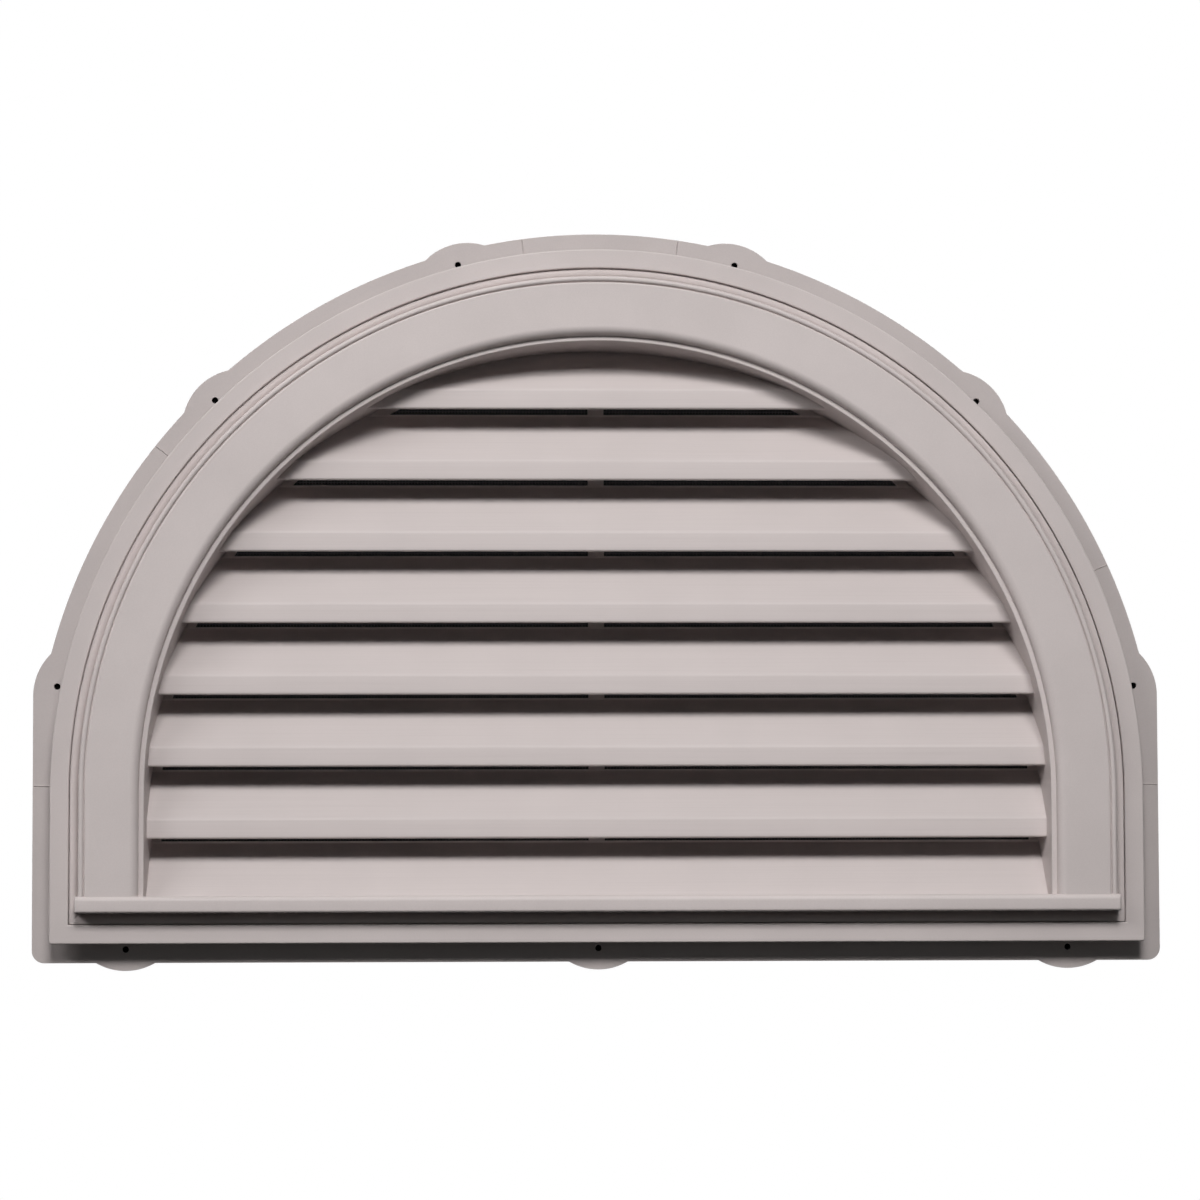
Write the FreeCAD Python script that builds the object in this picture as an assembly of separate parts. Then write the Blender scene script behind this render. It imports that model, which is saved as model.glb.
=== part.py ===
"""Half-round gable vent: louvred body in seven sections, clip-on trim ring and insect screen.

Frame: X to the right, Y into the wall, Z up.  The wall plane, on which the back of the
nailing flange lies, is Y = 0, and Z = 0 is the straight bottom edge of the flange.
"Depth" below is the distance in front of the wall, so Y = -depth.  "Reach" is the distance
from the centre of the arch, or from the middle plane on the two straight legs.
"""
import FreeCAD, Part
import math
import os

# Overall outline, millimetres
FLANGE_REACH = 431.8          # half of the overall width
LEG_HEIGHT = 129.0            # straight leg below the arch
FLANGE_CORNER = 9.5
WALL = 2.5                    # moulded wall thickness

# Ears and nail holes of the flange
EAR_RADIUS = 45.0
EAR_RISE = 6.0                # how far an ear stands out of the flange edge
EAR_ANGLES = (45.8, 75.3)     # on the arch, from the springing line, each side
SHOULDER_HEIGHT = 75.0        # straight edge of the side ears above the springing line
SHOULDER_HOLE_ANGLE = 11.2
BOTTOM_EAR_X = 360.5          # outer bottom ears; one more stands in the middle
NAIL_HOLE = 4.76
NAIL_MARGIN = 10.3            # hole centre to flange edge

# Trim ring
RING_MARGIN = 14.4            # flange edge to ring edge
RING_WIDTH = 14.6
RING_DEPTH = 22.0             # front of the ring
RING_CORNER = 2.0
RING_EDGE = 1.2               # eased front edges
RING_RETURN = 6.0             # rim turned back at the outer edge
SEAM = 0.4                    # gap between ring and neck

# Clip between the ring and the neck
LEG_GAP = 1.8                 # ring leg to neck
BARB_GAP = 0.4                # barb tip to neck
BARB_BACK = 6.4
BARB_LENGTH = 2.7
TOOTH_RISE = 1.1
TOOTH_LENGTH = 1.6
TOOTH_CLEARANCE = 0.4         # barb to the tooth in front of it
TOOTH_CORNER_STOP = 20.0      # the tooth ends this far from the bottom corners

# Moulded surround
LEDGE_DEPTH = 19.5            # flat ledge inside the ring
LEDGE_WIDTH = 5.2
FACE_DEPTH = 35.0             # broad flat face
BEAD_RADIUS = 2.6             # bead on the outer edge of the face
BEAD_FACETS = 5
QUIRK_WIDTH = 0.8             # groove between bead and face
FACE_EDGE = 1.0               # eased outer edge of the face
FACE_WIDTH = 34.7             # flat of the face, with its eased edge
ROLL_RADIUS = 7.0             # inner edge of the face, rolled back to the step
ROLL_FACETS = 4
STEP_WIDTH = 3.9
STEP_EDGE = 1.2               # eased edge between the step and the louvre wall
DRAFT = 3.5                   # degrees, walls round the louvres
BACK_DEPTH = -27.0            # back of the louvre housing, inside the wall

# Sill
SILL_BOTTOM = 37.7
SILL_HEIGHT = 12.6
SILL_DEPTH = 37.0
SILL_OVERHANG = 0.4
SILL_EDGE = 3.0

# Louvre bank
BLADE_COUNT = 8
BLADE_PITCH = 55.0
BLADE_DROP = 1.5              # lowest nose line above the underside of the sill
BLADE_THICKNESS = 2.3
NOSE_DEPTH = 9.0
NOSE_HEIGHT = 15.0
NOSE_EDGE = 1.8
BLADE_RUN = 31.0              # front to back
LIP_HEIGHT = 2.7              # rain lip on the back edge
LIP_THICKNESS = 2.0

# Frame behind the blades, and the screen on it
RIM_WIDTH = 7.0
POST_WIDTH = 12.2
POST_BITE = 0.5               # how far the post grips the rain lips
SCREEN_THICKNESS = 0.8
SCREEN_MARGIN = 1.0           # screen edge to the outside of the housing

# Reaches worked out from the sizes above
CENTRE_Z = LEG_HEIGHT
RING_INSET = RING_MARGIN + RING_WIDTH
NECK_INSET = RING_INSET + SEAM
NECK_REACH = FLANGE_REACH - NECK_INSET
CASING_REACH = NECK_REACH - LEDGE_WIDTH
FACE_REACH = CASING_REACH - 2 * BEAD_RADIUS - QUIRK_WIDTH
ROLL_REACH = FACE_REACH - FACE_WIDTH
STEP_REACH = ROLL_REACH - ROLL_RADIUS
OPENING_REACH = STEP_REACH - STEP_WIDTH
STEP_DEPTH = FACE_DEPTH - ROLL_RADIUS
WALL_FRONT = STEP_DEPTH - WALL
SILL_TOP = SILL_BOTTOM + SILL_HEIGHT
CASING_BOTTOM = SILL_BOTTOM + SILL_OVERHANG
LIP_DEPTH = NOSE_DEPTH - BLADE_RUN - LIP_THICKNESS
SLOPE_RISE = BLADE_PITCH - NOSE_HEIGHT - LIP_HEIGHT
LOWEST_BREAK = SILL_BOTTOM + BLADE_DROP + NOSE_HEIGHT
FRONT = FreeCAD.Vector(0, -1, 0)
DOWN = FreeCAD.Vector(0, 0, -1)


def point(x, depth, z):
    """A point given by its depth in front of the wall."""
    return FreeCAD.Vector(x, -depth, z)


def line(start, end):
    return Part.LineSegment(start, end).toShape()


def arc(start, middle, end):
    return Part.Arc(start, middle, end).toShape()


def opening_reach(depth):
    """Reach of the drafted wall round the louvres."""
    return OPENING_REACH - (STEP_DEPTH - depth) * math.tan(math.radians(DRAFT))


def arch_slab(reach, bottom, back, front, corner=0.0):
    """A plate with the vent's outline: half-round top, straight legs, flat bottom."""
    left_foot = point(-reach, back, bottom + corner)
    right_foot = point(reach, back, bottom + corner)
    edges = [
        line(left_foot, point(-reach, back, CENTRE_Z)),
        arc(point(-reach, back, CENTRE_Z), point(0, back, CENTRE_Z + reach), point(reach, back, CENTRE_Z)),
        line(point(reach, back, CENTRE_Z), right_foot),
    ]
    heel = reach - corner
    if corner > 0:
        bulge = corner * (1 - math.sqrt(0.5))
        edges.append(arc(right_foot, point(reach - bulge, back, bottom + bulge), point(heel, back, bottom)))
        edges.append(line(point(heel, back, bottom), point(-heel, back, bottom)))
        edges.append(arc(point(-heel, back, bottom), point(-reach + bulge, back, bottom + bulge), left_foot))
    else:
        edges.append(line(right_foot, left_foot))
    return Part.Face(Part.Wire(edges)).extrude(FRONT * (front - back))


def inset_slab(inset, back, front, corner=0.0):
    """The flange outline drawn in by an even margin."""
    return arch_slab(FLANGE_REACH - inset, inset, back, front, corner)


def box(x0, x1, back, front, z0, z1):
    return Part.makeBox(x1 - x0, front - back, z1 - z0, point(x0, front, z0))


def disc(radius, x, z, back, front):
    return Part.makeCylinder(radius, front - back, point(x, back, z), FRONT)


def on_arch(reach, angle):
    """X and Z of a point on the arch, the angle counted from the right springing."""
    turn = math.radians(angle)
    return reach * math.cos(turn), CENTRE_Z + reach * math.sin(turn)


def mirrored(shape):
    """The same shape on the other side of the middle plane."""
    return shape.mirror(FreeCAD.Vector(0, 0, 0), FreeCAD.Vector(1, 0, 0))


def swept(edges, leg_bottom):
    """A section, drawn on the right springing plane, run up the legs and over the arch."""
    face = Part.Face(Part.Wire(edges))
    arch = face.revolve(point(0, 0, CENTRE_Z), FRONT, math.degrees(math.pi))
    leg = face.extrude(DOWN * (CENTRE_Z - leg_bottom))
    return arch.fuse([leg, mirrored(leg)])


def polygon(corners, place):
    """Closed line edges through corners, each turned into a point by place."""
    points = [place(*corner) for corner in corners]
    return [line(a, b) for a, b in zip(points, points[1:] + points[:1])]


def section_point(reach, depth):
    return point(reach, depth, CENTRE_Z)


def nail_places():
    """X and Z of every nail hole."""
    places = []
    for angle in (SHOULDER_HOLE_ANGLE,) + EAR_ANGLES:
        x, z = on_arch(FLANGE_REACH - NAIL_MARGIN, angle)
        places += [(x, z), (-x, z)]
    places += [(x, NAIL_MARGIN) for x in (-BOTTOM_EAR_X, 0.0, BOTTOM_EAR_X)]
    return places


def make_nailing_flange():
    """Nailing flange with an ear at every nail hole."""
    plate = arch_slab(FLANGE_REACH, 0.0, 0.0, WALL, FLANGE_CORNER)
    ears = []
    for angle in EAR_ANGLES:
        x, z = on_arch(FLANGE_REACH + EAR_RISE - EAR_RADIUS, angle)
        ears += [disc(EAR_RADIUS, x, z, 0.0, WALL), disc(EAR_RADIUS, -x, z, 0.0, WALL)]
    for x in (-BOTTOM_EAR_X, 0.0, BOTTOM_EAR_X):
        ears.append(disc(EAR_RADIUS, x, EAR_RADIUS - EAR_RISE, 0.0, WALL))
    shoulder = FLANGE_REACH - EAR_RADIUS
    shoulder_top = CENTRE_Z + SHOULDER_HEIGHT
    for side in (-1, 1):
        ears.append(disc(EAR_RADIUS, side * shoulder, shoulder_top, 0.0, WALL))
        edge = sorted((side * shoulder, side * FLANGE_REACH))
        ears.append(box(edge[0], edge[1], 0.0, WALL, CENTRE_Z, shoulder_top))
    holes = [disc(NAIL_HOLE / 2, x, z, -WALL, 2 * WALL) for x, z in nail_places()]
    inside = inset_slab(NECK_INSET, -WALL, 2 * WALL)
    return plate.fuse(ears).cut([inside] + holes).removeSplitter()


def make_teeth():
    """Saw teeth on the legs and bottom of the neck that keep the barb of the ring from pulling off."""
    heel = BARB_BACK + BARB_LENGTH + TOOTH_CLEARANCE
    tip = NECK_REACH + TOOTH_RISE
    root = NECK_REACH - WALL / 2
    corners = [(root, heel), (tip, heel), (NECK_REACH, heel + TOOTH_LENGTH), (root, heel + TOOTH_LENGTH)]
    leg = Part.Face(Part.Wire(polygon(corners, section_point))).extrude(
        DOWN * (CENTRE_Z - NECK_INSET - TOOTH_CORNER_STOP))
    run = NECK_REACH - TOOTH_CORNER_STOP
    below = [(depth, FLANGE_REACH - reach) for reach, depth in corners]
    edges = polygon(below, lambda depth, z: point(-run, depth, z))
    bottom = Part.Face(Part.Wire(edges)).extrude(FreeCAD.Vector(2 * run, 0, 0))
    return [leg, mirrored(leg), bottom]


def make_neck():
    """Toothed wall that the siding butts against, and the ledge inside the trim ring."""
    wall = inset_slab(NECK_INSET, 0.0, LEDGE_DEPTH).cut(
        inset_slab(NECK_INSET + WALL, -WALL, LEDGE_DEPTH + WALL))
    ledge = inset_slab(NECK_INSET, LEDGE_DEPTH - WALL, LEDGE_DEPTH).cut(
        arch_slab(CASING_REACH, CASING_BOTTOM, BACK_DEPTH, FACE_DEPTH))
    return wall.fuse([ledge] + make_teeth()).removeSplitter()


def round_corners(reach, depth, radius, start, end, facets):
    """Corners of a rounded edge, evenly spaced round its centre, angles in radians."""
    turns = [start + (end - start) * step / facets for step in range(facets + 1)]
    return [(reach + radius * math.cos(turn), depth + radius * math.sin(turn)) for turn in turns]


def make_surround():
    """Moulded surround: outer wall, bead, quirk, broad face, roll and step, standing on the sill."""
    valley = FACE_DEPTH - BEAD_RADIUS
    plate_back = FACE_DEPTH - WALL
    corners = [(CASING_REACH, LEDGE_DEPTH - WALL)]
    corners += round_corners(CASING_REACH - BEAD_RADIUS, valley, BEAD_RADIUS, 0.0, math.pi, BEAD_FACETS)
    corners += [
        (FACE_REACH, valley),
        (FACE_REACH, FACE_DEPTH - FACE_EDGE),
        (FACE_REACH - FACE_EDGE, FACE_DEPTH),
    ]
    corners += round_corners(ROLL_REACH, STEP_DEPTH, ROLL_RADIUS, math.pi / 2, math.pi, ROLL_FACETS)
    corners += [
        (OPENING_REACH + STEP_EDGE, STEP_DEPTH),
        (opening_reach(STEP_DEPTH - STEP_EDGE), STEP_DEPTH - STEP_EDGE),
        (opening_reach(WALL_FRONT), WALL_FRONT),
        (STEP_REACH + WALL, WALL_FRONT),
        (ROLL_REACH, plate_back),
        (FACE_REACH - 2 * WALL, plate_back),
        (CASING_REACH - WALL, valley - WALL),
        (CASING_REACH - WALL, LEDGE_DEPTH - WALL),
    ]
    return swept(polygon(corners, section_point), SILL_TOP).removeSplitter()


def opening_core(bottom):
    """Space inside the drafted wall."""
    corners = [
        (0.0, BACK_DEPTH),
        (opening_reach(BACK_DEPTH), BACK_DEPTH),
        (opening_reach(WALL_FRONT), WALL_FRONT),
        (0.0, WALL_FRONT),
    ]
    return swept(polygon(corners, section_point), bottom)


def make_louvre_wall(neck):
    """Drafted wall round the louvres, and the floor that closes it."""
    back = opening_reach(BACK_DEPTH)
    front = opening_reach(WALL_FRONT)
    corners = [
        (front, WALL_FRONT),
        (back, BACK_DEPTH),
        (back + WALL, BACK_DEPTH),
        (front + WALL, WALL_FRONT),
    ]
    floor = opening_core(SILL_BOTTOM).common(
        box(-OPENING_REACH, OPENING_REACH, BACK_DEPTH, LEDGE_DEPTH, SILL_BOTTOM, SILL_BOTTOM + WALL))
    return swept(polygon(corners, section_point), SILL_BOTTOM).fuse(floor).cut(neck).removeSplitter()


def lowest_slope(z):
    """Depth of the lowest blade's slope at a height."""
    return NOSE_DEPTH + (LOWEST_BREAK - z) * BLADE_RUN / SLOPE_RISE


def make_sill(louvre_wall):
    """Hollow sill, rounded along its front edges and ends, with the apron and cheeks that close the surround
    below and the shelf that runs back to the lowest blade."""
    reach = CASING_REACH + SILL_OVERHANG
    outer = box(-reach, reach, LEDGE_DEPTH, SILL_DEPTH, SILL_BOTTOM, SILL_TOP)
    front_edges = [edge for edge in outer.Edges if edge.BoundBox.YMax < -SILL_DEPTH + SILL_EDGE]
    outer = outer.makeFillet(SILL_EDGE, front_edges)
    inside = reach - WALL
    inner = box(-inside, inside, BACK_DEPTH, SILL_DEPTH - WALL, SILL_BOTTOM + WALL, SILL_TOP - WALL)
    shelf_back = lowest_slope(SILL_TOP)
    shelf = opening_core(SILL_BOTTOM).common(
        box(-OPENING_REACH, OPENING_REACH, shelf_back, LEDGE_DEPTH + WALL, SILL_TOP - WALL, SILL_TOP))
    wall_back = LEDGE_DEPTH - WALL
    apron = box(-CASING_REACH, CASING_REACH, wall_back, SILL_DEPTH - WALL,
                CASING_BOTTOM, CASING_BOTTOM + WALL)
    pieces = [shelf, apron]
    for side in (-1, 1):
        edge = sorted((side * (CASING_REACH - WALL), side * CASING_REACH))
        pieces.append(box(edge[0], edge[1], wall_back, SILL_DEPTH - WALL, CASING_BOTTOM, SILL_TOP))
    return outer.cut(inner).fuse(pieces).cut(louvre_wall).removeSplitter()


def slope_back(depth, shift_depth, shift_z, z_break):
    """Height of the underside of a blade's slope at a depth."""
    return z_break + shift_z - (depth - NOSE_DEPTH - shift_depth) * SLOPE_RISE / BLADE_RUN


def blade_section(number):
    """Edges of one blade's section: nose, slope and rain lip; the lowest runs into the sill."""
    nose = SILL_BOTTOM + BLADE_DROP + number * BLADE_PITCH
    z_break = nose + NOSE_HEIGHT
    z_lip = nose + BLADE_PITCH
    slope = math.hypot(BLADE_RUN, SLOPE_RISE)
    shift_depth = -BLADE_THICKNESS * SLOPE_RISE / slope
    shift_z = -BLADE_THICKNESS * BLADE_RUN / slope
    lip_front = NOSE_DEPTH - BLADE_RUN
    nose_back = NOSE_DEPTH - BLADE_THICKNESS
    reach = OPENING_REACH + WALL

    def at(depth, z):
        return point(-reach, depth, z)

    lip = [(lip_front, z_break + SLOPE_RISE), (lip_front, z_lip), (LIP_DEPTH, z_lip),
           (LIP_DEPTH, slope_back(LIP_DEPTH, shift_depth, shift_z, z_break))]
    if number == 0:
        foot = SILL_TOP - WALL
        foot_front = lowest_slope(foot)
        foot_back = foot_front + shift_depth + shift_z * BLADE_RUN / SLOPE_RISE
        return polygon([(foot_front, foot)] + lip + [(foot_back, foot)], at)
    nose_top = slope_back(nose_back, shift_depth, shift_z, z_break)
    bulge = NOSE_EDGE * (1 - math.sqrt(0.5))
    corners = [(NOSE_DEPTH, nose + NOSE_EDGE), (NOSE_DEPTH, z_break)] + lip
    corners += [(nose_back, nose_top), (nose_back, nose), (NOSE_DEPTH - NOSE_EDGE, nose)]
    edges = polygon(corners, at)[:-1]
    edges.append(arc(at(NOSE_DEPTH - NOSE_EDGE, nose), at(NOSE_DEPTH - bulge, nose + bulge),
                     at(NOSE_DEPTH, nose + NOSE_EDGE)))
    return edges


def make_louvre_blades(sill):
    """Louvre bank, trimmed to the drafted wall of the opening."""
    width = 2 * (OPENING_REACH + WALL)
    core = opening_core(SILL_BOTTOM)
    blades = []
    for number in range(BLADE_COUNT):
        face = Part.Face(Part.Wire(blade_section(number)))
        blades.append(face.extrude(FreeCAD.Vector(width, 0, 0)).common(core).cut(sill).removeSplitter())
    return Part.makeCompound(blades)


def make_rear_frame(blades):
    """Inward rim at the back of the drafted wall, and the post that ties the blades."""
    inside = opening_core(SILL_BOTTOM + WALL)
    rim_front = BACK_DEPTH + WALL
    inner_reach = opening_reach(BACK_DEPTH) - RIM_WIDTH
    rim = inside.common(arch_slab(OPENING_REACH, SILL_BOTTOM, BACK_DEPTH, rim_front)).cut(
        arch_slab(inner_reach, SILL_BOTTOM + WALL + RIM_WIDTH, BACK_DEPTH - WALL, rim_front + WALL))
    post = inside.common(box(-POST_WIDTH / 2, POST_WIDTH / 2, BACK_DEPTH, LIP_DEPTH + POST_BITE,
                             SILL_BOTTOM, CENTRE_Z + OPENING_REACH))
    return rim.fuse(post).cut(blades).removeSplitter()


def eased_front(shape, depth, size):
    """Bevel the edges that lie wholly on a front face."""
    limit = 1e-6
    edges = []
    for edge in shape.Edges:
        span = edge.BoundBox
        if abs(span.YMax + depth) < limit and abs(span.YMin + depth) < limit:
            edges.append(edge)
    return shape.makeChamfer(size, edges)


def make_trim_ring():
    """Clip-on ring: face with a turned-back rim, and a leg round the neck, barbed on the straight runs."""
    solid = inset_slab(RING_MARGIN, RING_DEPTH - RING_RETURN, RING_DEPTH, RING_CORNER)
    solid = eased_front(solid.cut(inset_slab(RING_INSET, 0.0, RING_DEPTH + WALL)), RING_DEPTH, RING_EDGE)
    leg_inset = NECK_INSET - LEG_GAP
    hollow = inset_slab(RING_MARGIN + WALL, 0.0, RING_DEPTH - WALL).cut(
        inset_slab(leg_inset - WALL, -WALL, RING_DEPTH))
    trough = inset_slab(leg_inset, 0.0, RING_DEPTH - WALL)
    face = solid.cut([hollow, trough])
    leg = inset_slab(leg_inset - WALL, BARB_BACK, RING_DEPTH - WALL / 2).cut(
        inset_slab(leg_inset, 0.0, RING_DEPTH))
    barb = inset_slab(leg_inset - WALL / 2, BARB_BACK, BARB_BACK + BARB_LENGTH).cut(
        inset_slab(NECK_INSET - BARB_GAP, 0.0, RING_DEPTH))
    barb = barb.common(box(-FLANGE_REACH, FLANGE_REACH, 0.0, RING_DEPTH, 0.0, CENTRE_Z))
    return face.fuse([leg, barb]).removeSplitter()


def make_insect_screen():
    """Screen sheet bonded to the back of the rim and the post."""
    reach = opening_reach(BACK_DEPTH) + WALL - SCREEN_MARGIN
    return arch_slab(reach, SILL_BOTTOM + SCREEN_MARGIN, BACK_DEPTH - SCREEN_THICKNESS, BACK_DEPTH)


def main():
    os.makedirs("parts", exist_ok=True)
    neck = make_neck()
    louvre_wall = make_louvre_wall(neck)
    sill = make_sill(louvre_wall)
    louvre_blades = make_louvre_blades(sill)
    nodes = {
        "nailing_flange": make_nailing_flange(),
        "neck": neck,
        "surround": make_surround(),
        "sill": sill,
        "louvre_wall": louvre_wall,
        "louvre_blades": louvre_blades,
        "rear_frame": make_rear_frame(louvre_blades),
        "trim_ring": make_trim_ring(),
        "insect_screen": make_insect_screen(),
    }
    for name, shape in nodes.items():
        shape.exportStep(os.path.join("parts", name + ".step"))
        print(name, len(shape.Solids), "solid", shape.isValid(), round(shape.Volume / 1000, 1), "cm3")


main()
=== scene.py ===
"""Looks of a half-round gable vent: smooth mouldings, grained blades, woven screen and studio stage.

Lengths are metres in the part's own frame: X to the right, Y into the wall, Z up, with the wall
plane at Y = 0.  "Depth" is the distance in front of the wall.  "Inset" is the distance inside the
flange outline, and "reach" the distance from the centre of the arch or from the middle plane.
"""

import math
import types

import bmesh
import bpy
from mathutils import Matrix, Quaternion, Vector


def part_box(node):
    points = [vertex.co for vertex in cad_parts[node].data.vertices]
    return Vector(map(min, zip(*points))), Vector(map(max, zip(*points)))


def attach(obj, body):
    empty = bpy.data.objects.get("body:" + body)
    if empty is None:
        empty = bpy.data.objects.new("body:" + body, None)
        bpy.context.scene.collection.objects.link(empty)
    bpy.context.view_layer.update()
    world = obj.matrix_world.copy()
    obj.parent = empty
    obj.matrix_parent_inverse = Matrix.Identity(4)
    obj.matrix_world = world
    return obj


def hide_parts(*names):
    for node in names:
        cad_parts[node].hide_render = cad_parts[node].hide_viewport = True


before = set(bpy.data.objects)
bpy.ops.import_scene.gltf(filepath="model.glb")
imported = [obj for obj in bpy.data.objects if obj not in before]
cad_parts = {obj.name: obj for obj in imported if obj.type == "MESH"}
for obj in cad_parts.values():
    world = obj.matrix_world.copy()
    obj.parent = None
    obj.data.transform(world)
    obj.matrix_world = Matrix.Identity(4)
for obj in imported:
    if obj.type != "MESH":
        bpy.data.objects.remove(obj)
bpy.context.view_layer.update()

bl_info = {
    "name": "Gable Vent",
    "version": (1, 0, 0),
    "blender": (4, 5, 0),
    "location": "View3D > Sidebar > Gable Vent",
    "description": "Builds the mouldings, louvres, screen and stage of a half-round gable vent",
    "category": "Object",
}

MM = 0.001
QUARTER = math.pi / 2

FLANGE_LOW, FLANGE_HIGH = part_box("nailing_flange")
NECK_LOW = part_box("neck")[0]
SURROUND_LOW, SURROUND_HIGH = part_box("surround")
SILL_LOW, SILL_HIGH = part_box("sill")
WALL_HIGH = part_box("louvre_wall")[1]
RING_LOW, RING_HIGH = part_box("trim_ring")
SCREEN_LOW, SCREEN_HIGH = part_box("insect_screen")

# Small edges and clearances
CRISP = 20                   # degrees, edge angle past which a moulding shows a crisp edge
FLAT = 5                     # degrees, the same for plates, so that their sides stay flat
FLANGE_EDGE = 0.35 * MM
RIM_EDGE = 0.25 * MM
SCREEN_EDGE = 0.1 * MM
LEDGE_EDGE = 0.5 * MM
NECK_BACK = 0.05 * MM        # neck in front of the wall plane
TOOTH_CLEAR = 0.4 * MM       # tooth in front of the barb it holds
TOOTH_LENGTH = 1.6 * MM
TOOTH_MARGIN = 20 * MM       # teeth end this far from the corners
LINE_ANGLES = (0.8, 24.0, 81.6, 97.7, 141.8, 179.2)    # degrees round the arch, joints of the mould
LINE_WIDTH = 2.0 * MM
LINE_RISE = 0.6 * MM
LINE_MARGIN = 0.8 * MM       # mould lines end this far inside the flange edge

# How far the body's sections run into each other, as shares of the wall
FLANGE_BITE = 0.2
LINE_BITE = 0.2
LEDGE_BITE = 0.3
TOOTH_BITE = 0.5
SURROUND_BITE = 0.4          # surround into the sill
SHELF_BITE = 0.3
BLADE_BITE = 0.2
LEDGE_SHARE = 0.5            # thickness of the ledge beside the bead
CHEEK_DROP = 0.2             # cheeks below the top of the sill

# Extra points that keep a flat face flat under smooth shading, as shares of its rounded edge
FACE_START = 1.5             # from the outer edge of the broad face
FACE_STOP = 0.5              # from its roll
RING_START = 1.4             # from both edges of the ring's face

# Steps of the meshes
ARCH_STEPS = 180
LEG_STEPS = 4
BOTTOM_STEPS = 8             # on each side of the middle
CORNER_STEPS = 6
EAR_STEPS = 1080             # round the arch, fine enough for the feet of the ears
HOLE_STEPS = 32
BLADE_COLUMNS = 24
NOSE_STEPS = 6
BREAK_STEPS = 4
SLOPE_STEPS = 12
FALL_STEPS = 10
MERGE_DISTANCE = 1e-6        # points nearer than this are one
NO_LENGTH = 1e-7             # edges shorter than this are dropped

# Surfaces
PLASTIC_IOR = 1.49
PLASTIC_SHEEN = 0.2          # specular level of the satin tool finish
FLANGE_LEVEL = 0.85          # brightness beside the body's
RING_LEVEL = 0.95
CLOUD_SIZE = 70 * MM
STIPPLE_SIZE = 1.1 * MM      # real stipple is about 0.15 mm; drawn coarser so that it shows
GRAIN_RUN = 160 * MM
GRAIN_WIDTH = 1.3 * MM
GRAIN_CLOUD = 60 * MM
THREAD_PITCH = 2.4 * MM      # real threads are 1.4 mm apart; drawn wider so that the weave shows
FIBRE_SIZE = 8 * MM
MOTTLE_SIZE = 1 * MM
FLOOR_GLOW = 0.97            # light that the floor shows to the camera
FLOOR_DARK = (0.05, 0.05, 0.05, 1.0)                   # floor as the object sees it

# Stage
CAMERA_AIM = Vector((2.1 * MM, 0, 148.4 * MM))         # from the centre of the arch
CAMERA_YAW, CAMERA_PITCH, CAMERA_ROLL = (math.radians(turn) for turn in (2.28, 4.22, -0.18))
CAMERA_DISTANCE = 3.607
CAMERA_LENS = 140.6          # millimetres, as is the sensor
SENSOR_WIDTH = 36.0
CLIP_END = 100.0
LIGHT_AIM = Vector((20 * MM, 0, 80 * MM))              # from the centre of the arch
LAMPS = (                    # name, power, direction, distance, width, height, spread in degrees
    ("key_softbox", "key_power", (-1.1, -1.0, 0.8), 4.5, 2.4, 0.9, 100),
    ("top_softbox", "top_power", (0.02, -1.0, 0.76), 3.5, 1.5, 0.9, 45),
    ("back_softbox", "back_power", (0.6, 1.0, 0.7), 3.2, 1.8, 1.2, 120),
)
AMBIENT_TINT = (0.8, 0.98, 0.99, 1)
FLOOR_HALF = 33.0
FLOOR_LEVEL = -2.0
SHADE_DISC_BEHIND = 1 * MM          # dark discs behind the wall plane, painted shade seen through the nail holes

# Kinds of node that are used often
MATH = "ShaderNodeMath"
VECTOR_MATH = "ShaderNodeVectorMath"
SPLIT = "ShaderNodeSeparateXYZ"
COMBINE = "ShaderNodeCombineXYZ"
COORDINATES = "ShaderNodeTexCoord"
NOISE = "ShaderNodeTexNoise"
RANGE = "ShaderNodeMapRange"
MIX = "ShaderNodeMix"
MIX_A, MIX_B, MIXED = 6, 7, 2                          # colour sockets of a mix node
BUMP = "ShaderNodeBump"
SURFACE = "ShaderNodeBsdfPrincipled"
OUTPUT = "ShaderNodeOutputMaterial"
FLOAT = "NodeSocketFloat"
NOISE_SPAN = {"From Min": 0.3, "From Max": 0.7}        # most values of a noise lie in here


def length(name, description, metres):
    """A settable length."""
    return bpy.props.FloatProperty(
        name=name, description=description, default=metres, unit="LENGTH", precision=5)


def angle(name, description, degrees):
    """A settable angle."""
    return bpy.props.FloatProperty(
        name=name, description=description, default=math.radians(degrees), subtype="ANGLE")


def power(name, description, watts):
    """A settable power of a lamp."""
    return bpy.props.FloatProperty(
        name=name, description=description, default=watts, min=0, unit="POWER")


def linear(hex_colour):
    """Linear red, green and blue of an sRGB hex colour."""
    channels = [int(hex_colour[i:i + 2], 16) / 255 for i in (1, 3, 5)]
    return tuple(c / 12.92 if c <= 0.04045 else ((c + 0.055) / 1.055) ** 2.4 for c in channels)


def colour(name, description, hex_colour):
    """A settable colour."""
    return bpy.props.FloatVectorProperty(
        name=name, description=description, default=linear(hex_colour), size=3, min=0, max=1,
        subtype="COLOR")


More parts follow.
